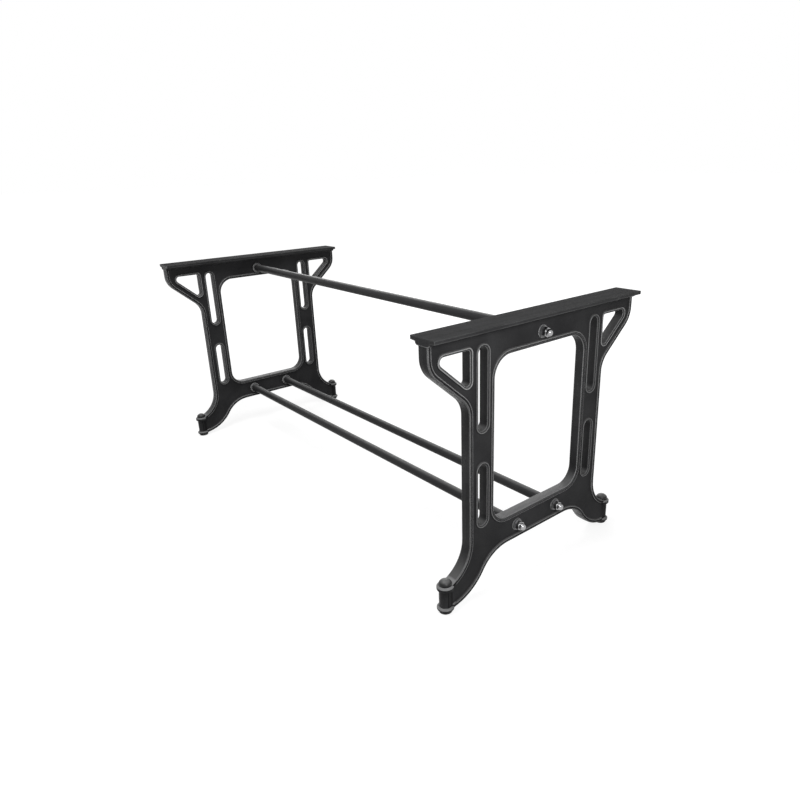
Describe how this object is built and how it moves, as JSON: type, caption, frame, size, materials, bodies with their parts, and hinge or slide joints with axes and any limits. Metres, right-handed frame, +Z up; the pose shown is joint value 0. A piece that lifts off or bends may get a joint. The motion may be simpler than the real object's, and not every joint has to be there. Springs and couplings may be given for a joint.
{
  "type": "table base",
  "caption": "Cast iron table base of two openwork end frames with rimmed windows and curved feet, joined by long steel tie rods with domed chrome nuts.",
  "frame": {"origin": "on the floor, under the middle of the base", "axes": "+X along the tie rods towards the right end frame, +Y along each frame towards the back, +Z up"},
  "size_m": [1.62, 0.739, 0.711],
  "materials": {
    "cast_frame": "black semi-gloss paint over the cast skin",
    "rod_steel": "steel bar, painted black, semi-gloss",
    "washer_steel": "flat steel washer, bare and slightly dulled",
    "nut_chrome": "bright chrome",
    "foot_bolt": "steel, painted black",
    "glide_pad": "turned steel, painted black"
  },
  "bodies": {
    "root": {"end_frame_left": "cast_frame", "end_frame_right": "cast_frame", "tie_rod_upper": "rod_steel", "tie_rod_lower_front": "rod_steel", "tie_rod_lower_back": "rod_steel", "washer_left_upper": "washer_steel", "washer_left_lower_front": "washer_steel", "washer_left_lower_back": "washer_steel", "cap_nut_left_upper": "nut_chrome", "cap_nut_left_lower_front": "nut_chrome", "cap_nut_left_lower_back": "nut_chrome", "foot_bolt_left_front": "foot_bolt", "foot_bolt_left_back": "foot_bolt", "glide_left_front": "glide_pad", "glide_left_back": "glide_pad", "washer_right_upper": "washer_steel", "washer_right_lower_front": "washer_steel", "washer_right_lower_back": "washer_steel", "cap_nut_right_upper": "nut_chrome", "cap_nut_right_lower_front": "nut_chrome", "cap_nut_right_lower_back": "nut_chrome", "foot_bolt_right_front": "foot_bolt", "foot_bolt_right_back": "foot_bolt", "glide_right_front": "glide_pad", "glide_right_back": "glide_pad"}
  },
  "joints": []
}
